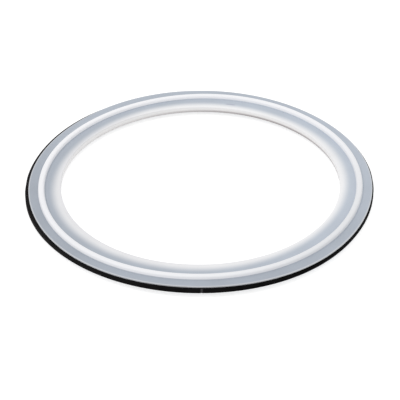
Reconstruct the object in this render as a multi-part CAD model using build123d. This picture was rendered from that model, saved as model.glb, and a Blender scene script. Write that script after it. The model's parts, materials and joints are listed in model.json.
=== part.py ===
from build123d import *
import math
import os

# Envelope gasket for a hygienic clamp union, lying flat. Two pieces: a ring turned from solid PTFE, with
# a slot cut in from its outer edge, and a flat elastomer ring that fills the slot and stands a little
# proud of it.
# Millimetres. The origin is on the bore's axis, halfway through the thickness, and +Z is that axis.

# Face, from the bore outwards: bore 72.9, bead circle 83.4 and rim 91.0 across, for a nominal 3 inch union
bore_diameter = 72.9
inner_land_width = 4.35
bead_width = 1.80
outer_land_width = 2.90

# Envelope, PTFE
lip_width = 1.55
skin_thickness = 0.35
skin_setback = 0.40
skin_edge_chamfer = 0.08
bore_edge_chamfer = 0.25
bead_height = 1.00
bead_dome_height = 0.35
bead_draft = 14

# Core, black elastomer. It has slid a little to one side in its slot
core_thickness = 1.20
core_edge_chamfer = 0.10
core_end_clearance = 0.30
core_slide = 0.32
core_slide_angle = -158
splice_width = 0.60
splice_depth = 0.12
splice_angle = -89.6

# Radii and heights that follow from those sizes
bore_radius = bore_diameter / 2
bead_radius = bore_radius + inner_land_width + bead_width / 2
rim_radius = bead_radius + bead_width / 2 + outer_land_width
skin_end_radius = rim_radius - skin_setback
slot_root_radius = bore_radius + lip_width
half_slot = core_thickness / 2
half_flat = half_slot + skin_thickness

# The core's inner edge clears the slot's root on the side that the core has left
core_inner_radius = slot_root_radius + core_slide + core_end_clearance


def band(inner, outer, half_height):
    """Rectangle of a radial section, from inner to outer radius, centred on the middle plane."""
    return Pos((inner + outer) / 2, 0) * Rectangle(outer - inner, 2 * half_height)


def with_edges_broken(section, radius, half_height, size):
    """The section with its two corners at this radius, above and below, chamfered."""
    corners = [
        corner
        for corner in section.vertices()
        if math.isclose(corner.X, radius, abs_tol=1e-6)
        and math.isclose(abs(corner.Y), half_height, abs_tol=1e-6)
    ]
    return chamfer(corners, size)


def bead_section():
    """Bead on the upper face: drafted flanks under a domed crest, reaching down to the middle plane."""
    foot = bead_width / 2
    flank_height = bead_height - bead_dome_height
    shoulder = foot - flank_height * math.tan(math.radians(bead_draft))
    shoulder_height = half_flat + flank_height
    outline = Polyline((-shoulder, shoulder_height), (-foot, half_flat), (-foot, 0), (foot, 0),
                       (foot, half_flat), (shoulder, shoulder_height))
    outline += ThreePointArc((shoulder, shoulder_height), (0, half_flat + bead_height),
                             (-shoulder, shoulder_height))
    return Pos(X=bead_radius) * make_face(outline)


def turned(section):
    """The solid that a radial section sweeps round the bore's axis."""
    return revolve(Plane.XZ * section, Axis.Z)


def make_envelope():
    """Turned ring: a bead on each face, thin skins over the slot and a solid lip at the bore."""
    section = band(bore_radius, skin_end_radius, half_flat)
    section = with_edges_broken(section, bore_radius, half_flat, bore_edge_chamfer)
    section = with_edges_broken(section, skin_end_radius, half_flat, skin_edge_chamfer)
    upper_bead = bead_section()
    section += upper_bead + mirror(upper_bead, Plane.XZ)
    section -= band(slot_root_radius, rim_radius, half_slot)
    return turned(section)


def splice_groove():
    """Round-bottomed groove where the core's two ends are joined, down the whole rim."""
    groove_radius = splice_width / 2
    from_axis = rim_radius + groove_radius - splice_depth
    return Rot(Z=splice_angle) * Pos(X=from_axis) * Cylinder(groove_radius, 2 * core_thickness)


def make_core():
    """Flat ring with the edges of its rim broken, filling the slot's height and slid to one side."""
    section = band(core_inner_radius, rim_radius, half_slot)
    section = with_edges_broken(section, rim_radius, half_slot, core_edge_chamfer)
    slide = (core_slide * math.cos(math.radians(core_slide_angle)),
             core_slide * math.sin(math.radians(core_slide_angle)))
    return Pos(*slide) * (turned(section) - splice_groove())


os.makedirs("parts", exist_ok=True)
for name, piece in {"envelope": make_envelope(), "core": make_core()}.items():
    piece.label = name
    export_step(piece, f"parts/{name}.step")
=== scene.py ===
import json
import math

import bpy
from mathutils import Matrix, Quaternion, Vector


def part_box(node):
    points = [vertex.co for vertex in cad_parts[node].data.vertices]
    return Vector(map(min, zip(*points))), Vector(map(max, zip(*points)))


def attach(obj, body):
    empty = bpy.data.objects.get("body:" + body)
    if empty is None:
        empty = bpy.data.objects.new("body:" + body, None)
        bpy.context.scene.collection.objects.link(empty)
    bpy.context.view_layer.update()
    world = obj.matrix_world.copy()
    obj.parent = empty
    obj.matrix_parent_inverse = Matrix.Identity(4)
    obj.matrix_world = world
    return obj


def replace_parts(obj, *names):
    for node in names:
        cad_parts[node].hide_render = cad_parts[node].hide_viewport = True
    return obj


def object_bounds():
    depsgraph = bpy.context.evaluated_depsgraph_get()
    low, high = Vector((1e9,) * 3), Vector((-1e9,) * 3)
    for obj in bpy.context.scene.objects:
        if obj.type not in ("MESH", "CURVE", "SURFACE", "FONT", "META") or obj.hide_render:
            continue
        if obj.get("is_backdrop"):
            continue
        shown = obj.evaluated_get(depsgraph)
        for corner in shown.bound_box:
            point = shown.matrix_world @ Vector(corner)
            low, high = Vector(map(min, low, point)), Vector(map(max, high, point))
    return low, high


# Looks of a PTFE envelope gasket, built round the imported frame. Metres; the ring lies flat on a
# white floor, on the crest of its lower bead. Azimuths run from +X towards +Y.
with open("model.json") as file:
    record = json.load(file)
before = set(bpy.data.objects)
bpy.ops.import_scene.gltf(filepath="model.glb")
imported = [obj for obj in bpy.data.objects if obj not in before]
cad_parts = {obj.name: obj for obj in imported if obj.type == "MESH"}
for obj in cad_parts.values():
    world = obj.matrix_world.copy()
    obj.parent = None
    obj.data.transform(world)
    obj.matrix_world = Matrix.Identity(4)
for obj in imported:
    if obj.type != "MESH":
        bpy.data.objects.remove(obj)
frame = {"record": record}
cad_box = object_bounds()

MM = 0.001

# ---- Sizes and places from the frame -------------------------------------------------------------
MOUNTS = {mount["name"]: mount for mount in frame["record"]["mounts"]}
_, ENVELOPE_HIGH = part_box("envelope")
CORE_LOW, CORE_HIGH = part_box("core")

BORE_CENTRE = Vector(MOUNTS["bore"]["pos_m"])
CORE_CENTRE = Vector(MOUNTS["rim"]["pos_m"])

BORE_RADIUS = MOUNTS["bore"]["dims"]["r_mm"] * MM
SKIN_END_RADIUS = ENVELOPE_HIGH.x
RIM_RADIUS = CORE_CENTRE.x - CORE_LOW.x
HALF_CREST = ENVELOPE_HIGH.z
HALF_FLAT = MOUNTS["upper_sealing_face"]["pos_m"][2]
HALF_SLOT = CORE_HIGH.z

# ---- Sizes that the frame doesn't say, as in the part --------------------------------------------
BEAD_RADIUS = 41.7 * MM
BEAD_WIDTH = 1.80 * MM
BEAD_DRAFT = math.radians(14)
LIP_WIDTH = 1.55 * MM
CORE_INNER_RADIUS = 38.62 * MM
SPLICE_ANGLE = math.radians(-89.6)
SPLICE_WIDTH = 0.60 * MM
SPLICE_DEPTH = 0.12 * MM

BEAD_INSIDE = BEAD_RADIUS - BEAD_WIDTH / 2
BEAD_OUTSIDE = BEAD_RADIUS + BEAD_WIDTH / 2

# ---- Fine roundings ------------------------------------------------------------------------------
BORE_TOP_ROUNDING = 0.20 * MM
BORE_FOOT_ROUNDING = 0.70 * MM
SKIN_ROUNDING = 0.08 * MM
BEAD_FOOT_ROUNDING = 0.12 * MM
BEAD_CREST_ROUNDING = 0.60 * MM
CORE_ROUNDING = 0.10 * MM
SLOT_ROUNDING = 0.03 * MM

# ---- Out of round, as a soft ring lies: waves as (count, height, azimuth of a crest in degrees) --
BORE_ROUNDNESS = ((1, 0.20 * MM, 95), (2, 0.12 * MM, 0))
BEAD_ROUNDNESS = ((0, -0.05 * MM, 0), (1, 0.10 * MM, -70), (2, 0.20 * MM, 55),
                  (3, 0.16 * MM, -39), (5, 0.07 * MM, 12))
SKIN_ROUNDNESS = ((0, -0.07 * MM, 0), (1, 0.05 * MM, -116), (2, 0.185 * MM, -76),
                  (3, 0.19 * MM, -31), (4, 0.09 * MM, 21), (5, 0.07 * MM, 17),
                  (6, 0.04 * MM, -1))
CORE_ROUNDNESS = ((2, 0.10 * MM, -40), (3, 0.03 * MM, 55), (4, 0.10 * MM, 24),
                  (5, 0.05 * MM, -10), (6, 0.06 * MM, 5))

# How far the edge of the upper skin has lifted off the core at +Y; at -Y it lies flat
SKIN_LIFT = 0.22 * MM

# Room left to the solids' own box, and how softly a wave is held back from it. A side of the box
# that a spoke hardly heads for, by less than this share, is left out
BOX_MARGIN = 0.01 * MM
SKIN_SOFTNESS = 0.45 * MM
CORE_SOFTNESS = 0.08 * MM
LEAST_HEADING = 0.1

# ---- Fineness of the meshes ----------------------------------------------------------------------
ROUND_STEPS = 7
TURN_STEPS = 360
SPLICE_STEPS = 24
# In half widths of the splice: how far from its middle the steps of the whole turn begin
SPLICE_REACH = 1.2


# ---- Meshes --------------------------------------------------------------------------------------
def rounded_outline(corners):
    """Closed outline through (radius, height, rounding) corners, each an arc of its rounding."""
    points = []
    for i, (r, z, rounding) in enumerate(corners):
        here = Vector((r, z))
        before = (Vector(corners[i - 1][:2]) - here).normalized()
        after = (Vector(corners[(i + 1) % len(corners)][:2]) - here).normalized()
        half = before.angle(after) / 2
        centre = here + (before + after).normalized() * (rounding / math.sin(half))
        start = here + before * (rounding / math.tan(half)) - centre
        end = here + after * (rounding / math.tan(half)) - centre
        sweep = start.angle(end)
        for k in range(ROUND_STEPS + 1):
            share = k / ROUND_STEPS
            spoke = start * math.sin((1 - share) * sweep) + end * math.sin(share * sweep)
            points.append(centre + spoke / math.sin(sweep))
    return points


def mirrored(upper):
    """Corners of the upper half, from the bore outwards, and back below the middle plane."""
    return upper + [(r, -z, rounding) for r, z, rounding in reversed(upper)]


def turned_ring(name, outline, angles, place):
    """Closed ring swept by an outline; place(radius, height, angle) gives each vertex."""
    rows = len(outline)
    vertices = [place(r, z, angle) for angle in angles for r, z in outline]
    faces = []
    for i in range(len(angles)):
        j = (i + 1) % len(angles)
        for k in range(rows):
            n = (k + 1) % rows
            faces.append((i * rows + k, j * rows + k, j * rows + n, i * rows + n))
    mesh = bpy.data.meshes.new(name)
    mesh.from_pydata(vertices, [], faces)
    mesh.update()
    mesh.shade_smooth()
    ring = bpy.data.objects.new(name, mesh)
    bpy.context.scene.collection.objects.link(ring)
    return ring


def on_circle(centre, r, z, angle):
    """Point at this height, on the circle of radius r round an upright axis."""
    return centre.x + r * math.cos(angle), centre.y + r * math.sin(angle), z


def wave_height(crests, angle):
    """Sum of waves, each given by its count, its height and the azimuth of a crest."""
    return sum(height * math.cos(count * (angle - math.radians(crest)))
               for count, height, crest in crests)


def kept_inside(wave, radius, centre, angle, softness):
    """Smooth minimum of the wave and of the room that the solids' own box leaves it."""
    across, along = math.cos(angle), math.sin(angle)
    reach = [(cad_box[1 if way > 0 else 0][axis] - centre[axis]) / way
             for axis, way in ((0, across), (1, along)) if abs(way) > LEAST_HEADING]
    room = min(reach) - BOX_MARGIN - radius
    close = max(1 - abs(wave - room) / softness, 0)
    return min(wave, room) - close ** 2 * softness / 4


def whole_turn():
    """Even steps once round."""
    return [2 * math.pi * i / TURN_STEPS for i in range(TURN_STEPS)]


def make_envelope():
    """The PTFE ring: lip, flats, beads and the two skins over the slot."""
    half_top = BEAD_WIDTH / 2 - (HALF_CREST - HALF_FLAT) * math.tan(BEAD_DRAFT)
    upper = [
        (BORE_RADIUS, HALF_FLAT, BORE_TOP_ROUNDING),
        (BEAD_INSIDE, HALF_FLAT, BEAD_FOOT_ROUNDING),
        (BEAD_RADIUS - half_top, HALF_CREST, BEAD_CREST_ROUNDING),
        (BEAD_RADIUS + half_top, HALF_CREST, BEAD_CREST_ROUNDING),
        (BEAD_OUTSIDE, HALF_FLAT, BEAD_FOOT_ROUNDING),
        (SKIN_END_RADIUS, HALF_FLAT, SKIN_ROUNDING),
        (SKIN_END_RADIUS, HALF_SLOT, SLOT_ROUNDING),
        (BORE_RADIUS + LIP_WIDTH, HALF_SLOT, SLOT_ROUNDING),
    ]
    corners = mirrored(upper)
    corners[-1] = (BORE_RADIUS, -HALF_FLAT, BORE_FOOT_ROUNDING)

    def place(r, z, angle):
        """Carried out by the bead's wave, which turns into the bore's or the skin's beyond it."""
        bore, bead = wave_height(BORE_ROUNDNESS, angle), wave_height(BEAD_ROUNDNESS, angle)
        skin = wave_height(SKIN_ROUNDNESS, angle)
        skin = kept_inside(skin, SKIN_END_RADIUS, BORE_CENTRE, angle, SKIN_SOFTNESS)
        inwards = min(max((BEAD_INSIDE - r) / (BEAD_INSIDE - BORE_RADIUS), 0), 1)
        outwards = min(max((r - BEAD_OUTSIDE) / (SKIN_END_RADIUS - BEAD_OUTSIDE), 0), 1)
        r += bead + inwards * (bore - bead) + outwards * (skin - bead)
        if z > 0:
            z += outwards * SKIN_LIFT * (1 + math.sin(angle)) / 2
        return on_circle(BORE_CENTRE, r, z, angle)

    return turned_ring("envelope_ring", rounded_outline(corners), whole_turn(), place)


def make_core():
    """The elastomer ring, with the shallow groove of its splice across the rim."""
    upper = [
        (CORE_INNER_RADIUS, HALF_SLOT, CORE_ROUNDING),
        (RIM_RADIUS, HALF_SLOT, CORE_ROUNDING),
    ]
    splice_half_angle = SPLICE_WIDTH / 2 / RIM_RADIUS

    def across_splice(angle):
        """0 in the middle of the splice, -1 and 1 at its edges."""
        return math.remainder(angle - SPLICE_ANGLE, 2 * math.pi) / splice_half_angle

    angles = [angle for angle in whole_turn() if abs(across_splice(angle)) > SPLICE_REACH]
    angles += [
        (SPLICE_ANGLE + splice_half_angle * (2 * k / SPLICE_STEPS - 1)) % (2 * math.pi)
        for k in range(SPLICE_STEPS + 1)
    ]

    def place(r, z, angle):
        """Set back at the splice, and carried out by the rim's wave, which fades inwards."""
        if abs(across_splice(angle)) < 1 and r > RIM_RADIUS - 2 * CORE_ROUNDING:
            r -= SPLICE_DEPTH * math.cos(across_splice(angle) * math.pi / 2) ** 2
        outwards = (r - CORE_INNER_RADIUS) / (RIM_RADIUS - CORE_INNER_RADIUS)
        wave = wave_height(CORE_ROUNDNESS, angle)
        r += outwards * kept_inside(wave, RIM_RADIUS, CORE_CENTRE, angle, CORE_SOFTNESS)
        return on_circle(CORE_CENTRE, r, z, angle)

    return turned_ring("core_ring", rounded_outline(mirrored(upper)), sorted(angles), place)


# ---- Shader nodes --------------------------------------------------------------------------------
# Most of the noise lies between these values
NOISE_LOW, NOISE_HIGH = 0.3, 0.7


def srgb(r, g, b):
    """Linear colour of a screen colour given from 0 to 255."""
    linear = [c / 255 / 12.92 if c <= 10 else ((c / 255 + 0.055) / 1.055) ** 2.4
              for c in (r, g, b)]
    return (*linear, 1)


class Graph:
    """The nodes of one material or of the world."""

    def __init__(self, owner):
        owner.use_nodes = True
        self.nodes, self.links = owner.node_tree.nodes, owner.node_tree.links
        self.nodes.clear()

    def add(self, kind, inputs=(), **properties):
        """A node with some properties set; each of its inputs is linked, or given a value."""
        node = self.nodes.new(kind)
        for name, value in properties.items():
            setattr(node, name, value)
        for name, value in dict(inputs).items():
            if isinstance(value, bpy.types.NodeSocket):
                self.links.new(value, node.inputs[name])
            else:
                node.inputs[name].default_value = value
        return node

    def calc(self, operation, *values):
        """Result of one sum."""
        return self.add("ShaderNodeMath", enumerate(values), operation=operation).outputs[0]

    def spread(self, value, from_low, from_high, to_low=0.0, to_high=1.0, kind="SMOOTHSTEP"):
        """The value carried from one range to another, held at its ends."""
        inputs = {"Value": value, "From Min": from_low, "From Max": from_high,
                  "To Min": to_low, "To Max": to_high}
        node = self.add("ShaderNodeMapRange", inputs, interpolation_type=kind)
        return node.outputs["Result"]

    def blend(self, factor, a, b):
        """Colour between a and b."""
        node = self.add("ShaderNodeMix", data_type="RGBA", clamp_factor=False,
                        inputs={"Factor": factor, "A": a, "B": b})
        return node.outputs["Result"]

    def noise(self, place, size, detail=2.0):
        """Soft noise round 0.5, with patches of about this size."""
        inputs = {"Vector": place, "Scale": 1 / size, "Detail": detail}
        return self.add("ShaderNodeTexNoise", inputs).outputs["Fac"]

    def position(self):
        """Place on the object."""
        return self.add("ShaderNodeTexCoord").outputs["Object"]

    def azimuth_and_level(self, place):
        """Angle round the Z axis, and height over the middle plane."""
        parts = self.add("ShaderNodeSeparateXYZ", {0: place}).outputs
        return self.calc("ARCTAN2", parts["Y"], parts["X"]), parts["Z"]

    def waves(self, azimuth, crests):
        """Sum of waves round the ring, as in wave_height."""
        total = 0.0
        for count, height, crest in crests:
            phase = self.calc("MULTIPLY", azimuth, count)
            phase = self.calc("SUBTRACT", phase, count * math.radians(crest))
            wave = self.calc("MULTIPLY", self.calc("COSINE", phase), height)
            total = self.calc("ADD", wave, total)
        return total

    def distance_from_axis(self, place, centre):
        """Distance from the upright axis through a point."""
        flat = self.add("ShaderNodeVectorMath", operation="MULTIPLY_ADD",
                        inputs={0: place, 1: (1, 1, 0), 2: (-centre.x, -centre.y, 0)})
        length = self.add("ShaderNodeVectorMath", operation="LENGTH",
                          inputs={0: flat.outputs["Vector"]})
        return length.outputs["Value"]

    def bumped(self, height, depth):
        """Normal for a relief whose height runs from 0 to 1 over this depth."""
        inputs = {"Strength": 1, "Distance": depth, "Height": height}
        return self.add("ShaderNodeBump", inputs).outputs["Normal"]

    def mixed(self, factor, a, b):
        """Shader that is a at 0 and b at 1."""
        inputs = {0: factor, 1: a.outputs[0], 2: b.outputs[0]}
        return self.add("ShaderNodeMixShader", inputs)

    def seen_or_mirrored(self):
        """1 for rays to the camera: straight, by a reflection or through glass."""
        path = self.add("ShaderNodeLightPath").outputs
        either = self.calc("MAXIMUM", path["Is Camera Ray"], path["Is Glossy Ray"])
        return self.calc("MAXIMUM", either, path["Is Transmission Ray"])

    def end(self, shader, kind="ShaderNodeOutputMaterial"):
        """Makes the shader the look of the surface."""
        self.add(kind, {"Surface": shader.outputs[0]})


# ---- PTFE ----------------------------------------------------------------------------------------
# Pairs of colours are blended by a tone, 0 for the first and 1 for the second
# The lip's two whites are blended by painted sheen, random cloud and waves round the lip
DULL_LIP, BRIGHT_LIP = srgb(234, 234, 236), srgb(247, 247, 248)
# The skins' two greys are blended by painted sheen, random cloud and paleness inside the bead
DARKER_SKIN, PALER_SKIN = srgb(167, 174, 184), srgb(186, 194, 205)
# Lit and shaded copies of the beads' white, blended by a painted highlight and shade round the ring
SHADED_BEAD, LIT_BEAD = srgb(237, 238, 241), srgb(251, 251, 254)
# Paler at the skin's end: PTFE seen edge-on, and a painted highlight along the edge
SKIN_END_AND_HIGHLIGHT = srgb(205, 208, 213)
# Painted light: the bore's wall whiter than the rest of the PTFE
PAINTED_WALL_LIGHT = srgb(254, 253, 253)
# Painted shade at the foot of the bore's wall
PAINTED_FOOT_SHADE = srgb(199, 194, 195)
SMUDGE = srgb(160, 162, 182)

# Tones round the ring: waves as (count, height, azimuth of a crest in degrees); most of them paint
# light and shade, as said at each
# Painted sheen on the flats and the lip: lighter towards +X
SHEEN_WAVES = ((1, 0.5, 15),)
LIP_WAVES = ((2, 0.15, -68), (3, 0.16, -42), (4, 0.11, -21))
# Painted sheen on the skin outside the bead
OUTER_SHEEN_WAVES = ((1, 0.20, 136), (3, 0.18, 10))
# Painted highlight and shade on the beads round the ring
BEAD_HIGHLIGHT_WAVES = ((1, 0.49, 130), (2, 0.22, 69), (3, 0.16, 29))
# How strong the painted shade at the bore's foot is round the ring: strongest towards +X +Y
FOOT_SHADE_WAVES = ((1, 0.5, 45), (2, 0.25, 45))
MEAN_TONE = 0.5
CLOUD_SIZE = 9 * MM
CLOUD_TONES = (0.35, 0.65)

# The grey of the skins: paler inside the bead, with a soft edge where the core ends
INSIDE_PALER = 0.35
SIDE_BLEND = 1 * MM
SHADE_INSIDE = 1.85 * MM
SHADE_OUTSIDE = 0.90 * MM
EDGE_WAVES = ((1, 0.19 * MM, 14), (2, 0.35 * MM, 44), (3, 0.13 * MM, -17), (4, 0.25 * MM, 14))

# Pairs of places between which a colour comes in or fades: inwards from the skin's end, outwards
# from the bore, two pairs of levels on the bore's wall, for its painted light and the painted
# shade at its foot, and outwards from the bead's foot
SKIN_END_BAND = (0.40 * MM, 0.08 * MM)
BORE_BAND = (0.6 * MM, 0.9 * MM)
LIT_WALL_LEVELS = (0.9 * MM, 0.6 * MM)
FOOT_SHADE_LEVELS = (0.3 * MM, -0.4 * MM)
BEAD_BAND = (0.3 * MM, 0.8 * MM)
# How far the bead has risen over the flats where its white is full
BEAD_RISE = 0.35 * MM

SMUDGE_PLACE = Vector((8.7, 37.8, 0)) * MM
SMUDGE_REACH = (0.72 * MM, 1.80 * MM)
SMUDGE_HALF_WIDTH = 0.4 * MM
SMUDGE_STRENGTH = 0.7

POLISH_SIZE = 3 * MM
POLISH_ROUGHNESS = (0.40, 0.50)
PTFE_IOR = 1.35
TURNING_PITCH = 0.22 * MM
TURNING_DEPTH = 0.0012 * MM
FINE_DETAIL = 4.0


def flat_colour(graph, place, azimuth, from_bore):
    """Colour of the flats: white where PTFE is solid, blue grey over the core, with painted sheen.
    """
    cloud = graph.spread(graph.noise(place, CLOUD_SIZE), NOISE_LOW, NOISE_HIGH,
                         *CLOUD_TONES, "LINEAR")
    # Painted sheen round the ring, plus random cloud
    sheen_and_cloud = graph.calc("ADD", graph.waves(azimuth, SHEEN_WAVES), cloud)
    lip_tone = graph.calc("ADD", sheen_and_cloud, graph.waves(azimuth, LIP_WAVES))
    solid = graph.blend(lip_tone, DULL_LIP, BRIGHT_LIP)

    sides = (BEAD_RADIUS - SIDE_BLEND, BEAD_RADIUS + SIDE_BLEND)
    inside = graph.spread(from_bore, *sides, INSIDE_PALER, 0.0)
    outer_sheen = graph.spread(from_bore, *sides)
    # Painted sheen on the skin outside the bead
    outer_sheen = graph.calc("MULTIPLY", outer_sheen, graph.waves(azimuth, OUTER_SHEEN_WAVES))
    skin_tone = graph.calc("ADD", sheen_and_cloud, graph.calc("ADD", inside, outer_sheen))
    skin = graph.blend(skin_tone, DARKER_SKIN, PALER_SKIN)

    from_core = graph.distance_from_axis(place, CORE_CENTRE)
    over_core = graph.calc("SUBTRACT", from_core, graph.waves(azimuth, EDGE_WAVES))
    cover = graph.spread(over_core, CORE_INNER_RADIUS - SHADE_INSIDE,
                         CORE_INNER_RADIUS + SHADE_OUTSIDE)
    face = graph.blend(cover, solid, skin)

    # Paler towards the skin's end: PTFE seen edge-on, and a painted highlight along the edge
    from_edge = graph.calc("SUBTRACT", from_bore, graph.waves(azimuth, SKIN_ROUNDNESS))
    end = graph.spread(from_edge, *(SKIN_END_RADIUS - inset for inset in SKIN_END_BAND))
    return graph.blend(end, face, SKIN_END_AND_HIGHLIGHT)


def with_smudge(graph, face, place, from_bore):
    """The face with a short smudge along the lip."""
    from_smudge = graph.distance_from_axis(place, SMUDGE_PLACE)
    across = graph.calc("SUBTRACT", from_bore, (SMUDGE_PLACE - BORE_CENTRE).length)
    smudge = graph.calc("MULTIPLY",
                        graph.spread(from_smudge, *SMUDGE_REACH, SMUDGE_STRENGTH, 0.0),
                        graph.spread(graph.calc("ABSOLUTE", across), 0.0, SMUDGE_HALF_WIDTH,
                                     1.0, 0.0))
    return graph.blend(smudge, face, SMUDGE)


def with_bore(graph, face, azimuth, level, from_bore):
    """The face with painted light on the bore's white wall and painted shade at its foot."""
    near_bore = graph.spread(from_bore, *(BORE_RADIUS + inset for inset in BORE_BAND), 1.0, 0.0)
    # Painted light: the bore's wall whiter than the rest of the PTFE
    lit_wall = graph.calc("MULTIPLY", near_bore, graph.spread(level, *LIT_WALL_LEVELS))
    face = graph.blend(lit_wall, face, PAINTED_WALL_LIGHT)
    # Painted shade at the foot of the wall, strongest towards +X +Y
    foot_shade_tone = graph.calc("ADD", graph.waves(azimuth, FOOT_SHADE_WAVES), MEAN_TONE)
    foot_shade = graph.calc("MULTIPLY", foot_shade_tone, graph.spread(level, *FOOT_SHADE_LEVELS))
    return graph.blend(graph.calc("MULTIPLY", near_bore, foot_shade), face, PAINTED_FOOT_SHADE)


def with_beads(graph, face, azimuth, level, from_bore):
    """The face with the beads' white where they rise, and painted highlight and shade on them."""
    height = graph.calc("ABSOLUTE", level)
    raised = graph.spread(height, HALF_FLAT, HALF_FLAT + BEAD_RISE)
    on_bead = graph.spread(from_bore, *(BEAD_OUTSIDE + gap for gap in BEAD_BAND), 1.0, 0.0)
    raised = graph.calc("MULTIPLY", raised, on_bead)
    # Painted highlight and shade round the beads
    bead_light_tone = graph.calc("ADD", graph.waves(azimuth, BEAD_HIGHLIGHT_WAVES), MEAN_TONE)
    return graph.blend(raised, face, graph.blend(bead_light_tone, SHADED_BEAD, LIT_BEAD))


def ptfe():
    """Milky turned PTFE."""
    material = bpy.data.materials.new("turned_ptfe")
    graph = Graph(material)
    place = graph.position()
    azimuth, level = graph.azimuth_and_level(place)
    from_bore = graph.distance_from_axis(place, BORE_CENTRE)

    colour = flat_colour(graph, place, azimuth, from_bore)
    colour = with_smudge(graph, colour, place, from_bore)
    colour = with_bore(graph, colour, azimuth, level, from_bore)
    colour = with_beads(graph, colour, azimuth, level, from_bore)

    polish = graph.spread(graph.noise(place, POLISH_SIZE, FINE_DETAIL), NOISE_LOW, NOISE_HIGH,
                          *POLISH_ROUGHNESS, "LINEAR")
    turn = graph.calc("SINE", graph.calc("MULTIPLY", from_bore, 2 * math.pi / TURNING_PITCH))
    graph.end(graph.add("ShaderNodeBsdfPrincipled", {
        "Base Color": colour,
        "Roughness": polish,
        "IOR": PTFE_IOR,
        "Normal": graph.bumped(turn, TURNING_DEPTH),
    }))
    return material


# ---- Elastomer -----------------------------------------------------------------------------------
RUBBER_DARK, RUBBER_PALE = srgb(3, 3, 3), srgb(30, 29, 30)
RUBBER_SPLICE = srgb(66, 64, 67)
# Painted sheen: the rubber paler towards -X
RUBBER_SHEEN_WAVES = ((1, 0.45, 170),)
DUST_SIZE = 4 * MM
DUST_TONES = (0.35, 0.65)
SPLICE_PALE_REACH = (0.15 * MM, 0.36 * MM)
RUBBER_GRAIN = 0.25 * MM
RUBBER_DETAIL = 3.0
RUBBER_DEPTH = 0.012 * MM
RUBBER_ROUGHNESS = (0.55, 0.75)
RUBBER_SPECULAR = 0.02


def elastomer():
    """Moulded black rubber, finely grained, with painted sheen; its splice's cut ends are paler."""
    material = bpy.data.materials.new("black_elastomer")
    graph = Graph(material)
    place = graph.position()
    azimuth, _ = graph.azimuth_and_level(place)

    dust_and_sheen = graph.spread(graph.noise(place, DUST_SIZE, FINE_DETAIL), NOISE_LOW, NOISE_HIGH,
                        *DUST_TONES)
    # Random dust plus painted sheen round the ring
    dust_and_sheen = graph.calc("ADD", graph.waves(azimuth, RUBBER_SHEEN_WAVES), dust_and_sheen)
    colour = graph.blend(dust_and_sheen, RUBBER_DARK, RUBBER_PALE)
    rim_point = Vector(on_circle(CORE_CENTRE, RIM_RADIUS, 0, SPLICE_ANGLE))
    from_splice = graph.distance_from_axis(place, rim_point)
    splice = graph.spread(from_splice, *SPLICE_PALE_REACH, 1.0, 0.0)
    colour = graph.blend(splice, colour, RUBBER_SPLICE)

    grain = graph.noise(place, RUBBER_GRAIN, RUBBER_DETAIL)
    graph.end(graph.add("ShaderNodeBsdfPrincipled", {
        "Base Color": colour,
        "Roughness": graph.spread(grain, NOISE_LOW, NOISE_HIGH, *RUBBER_ROUGHNESS, "LINEAR"),
        "Specular IOR Level": RUBBER_SPECULAR,
        "Normal": graph.bumped(grain, RUBBER_DEPTH),
    }))
    return material


# ---- Floor ---------------------------------------------------------------------------------------
FLOOR_SIZE = 3.0
FLOOR_BOUNCE = 0.75
FLOOR_GLOW = 0.72
FLOOR_SHADE = 0.55


def grey(value):
    """Linear grey, 1 for white."""
    return (value, value, value, 1)


def floor_material():
    """Throws light back as a pale floor, looks white to the camera and keeps the ring's shadow."""
    material = bpy.data.materials.new("white_floor")
    graph = Graph(material)
    plain = graph.add("ShaderNodeBsdfDiffuse", {"Color": grey(FLOOR_BOUNCE)})
    shaded = graph.add("ShaderNodeBsdfDiffuse", {"Color": grey(FLOOR_SHADE)})
    glow = graph.add("ShaderNodeEmission", {"Strength": FLOOR_GLOW})
    both = graph.add("ShaderNodeAddShader", {0: shaded.outputs[0], 1: glow.outputs[0]})
    graph.end(graph.mixed(graph.seen_or_mirrored(), plain, both))
    return material


def make_floor():
    """White floor, level with the crest of the lower bead."""
    mesh = bpy.data.meshes.new("floor")
    half = FLOOR_SIZE / 2
    corners = [(-half, -half, 0), (half, -half, 0), (half, half, 0), (-half, half, 0)]
    mesh.from_pydata(corners, [], [(0, 1, 2, 3)])
    mesh.materials.append(floor_material())
    floor = bpy.data.objects.new("floor", mesh)
    floor.location.z = cad_box[0].z
    bpy.context.scene.collection.objects.link(floor)
    floor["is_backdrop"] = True


# ---- Light ---------------------------------------------------------------------------------------
WORLD_STRENGTH = 0.84
KEY_ELEVATION = math.radians(60)
KEY_AZIMUTH = math.radians(200)
KEY_DISTANCE = 2.0
KEY_SIZE = 1.1
KEY_POWER = 6


def direction(elevation, azimuth):
    """Unit vector from the middle of the ring."""
    return Vector((math.cos(azimuth) * math.cos(elevation),
                   math.sin(azimuth) * math.cos(elevation),
                   math.sin(elevation)))


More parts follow.
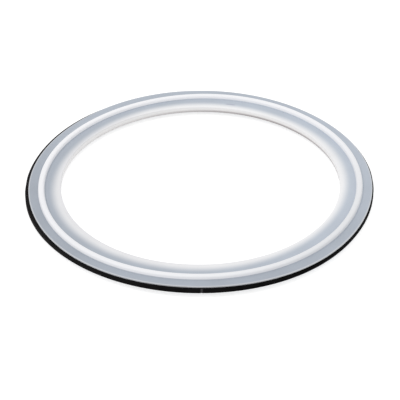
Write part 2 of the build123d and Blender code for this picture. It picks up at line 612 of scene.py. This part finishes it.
def light_room():
    """Even white surroundings, seen by the camera as plain white."""
    world = bpy.data.worlds.new("studio")
    graph = Graph(world)
    room = graph.add("ShaderNodeBackground", {"Color": grey(1), "Strength": WORLD_STRENGTH})
    backdrop = graph.add("ShaderNodeBackground", {"Color": grey(1)})
    graph.end(graph.mixed(graph.seen_or_mirrored(), room, backdrop), "ShaderNodeOutputWorld")
    bpy.context.scene.world = world


def hang_lamp():
    """One soft lamp, high on the left."""
    lamp = bpy.data.lights.new("key", "AREA")
    lamp.shape = "DISK"
    lamp.size = KEY_SIZE
    lamp.energy = KEY_POWER
    key = bpy.data.objects.new("key", lamp)
    towards = direction(KEY_ELEVATION, KEY_AZIMUTH)
    key.location = towards * KEY_DISTANCE
    key.rotation_mode = "QUATERNION"
    key.rotation_quaternion = towards.to_track_quat("Z", "Y")
    bpy.context.scene.collection.objects.link(key)


# ---- Camera --------------------------------------------------------------------------------------
CAMERA_ELEVATION = math.radians(34.36)
CAMERA_AZIMUTH = math.radians(-90)
CAMERA_DISTANCE = 0.3838
CAMERA_LENS = 131.5
CAMERA_ROLL = math.radians(-0.59)
CAMERA_PIVOT = BORE_CENTRE + Vector((0, 0, 0.6)) * MM
AIM = CAMERA_PIVOT + Vector((-0.170, -8.657, 0)) * MM


def place_camera():
    """Looks along +Y and down at a point nearer than the ring's middle, so the ring sits high."""
    data = bpy.data.cameras.new("camera")
    data.lens = CAMERA_LENS
    data.clip_start = 0.01
    data.clip_end = 10
    camera = bpy.data.objects.new("camera", data)
    camera.location = CAMERA_PIVOT + direction(CAMERA_ELEVATION, CAMERA_AZIMUTH) * CAMERA_DISTANCE
    camera.rotation_mode = "QUATERNION"
    look = (AIM - camera.location).to_track_quat("-Z", "Y")
    camera.rotation_quaternion = look @ Quaternion((0, 0, 1), CAMERA_ROLL)
    bpy.context.scene.collection.objects.link(camera)
    bpy.context.scene.camera = camera


# ---- The part ------------------------------------------------------------------------------------
envelope = make_envelope()
envelope.data.materials.append(ptfe())
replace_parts(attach(envelope, "root"), "envelope")

core = make_core()
core.data.materials.append(elastomer())
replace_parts(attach(core, "root"), "core")

make_floor()
light_room()
hang_lamp()
place_camera()
bpy.context.scene.view_settings.view_transform = "Standard"

[[list(corner) for corner in box] for box in (cad_box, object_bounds())]
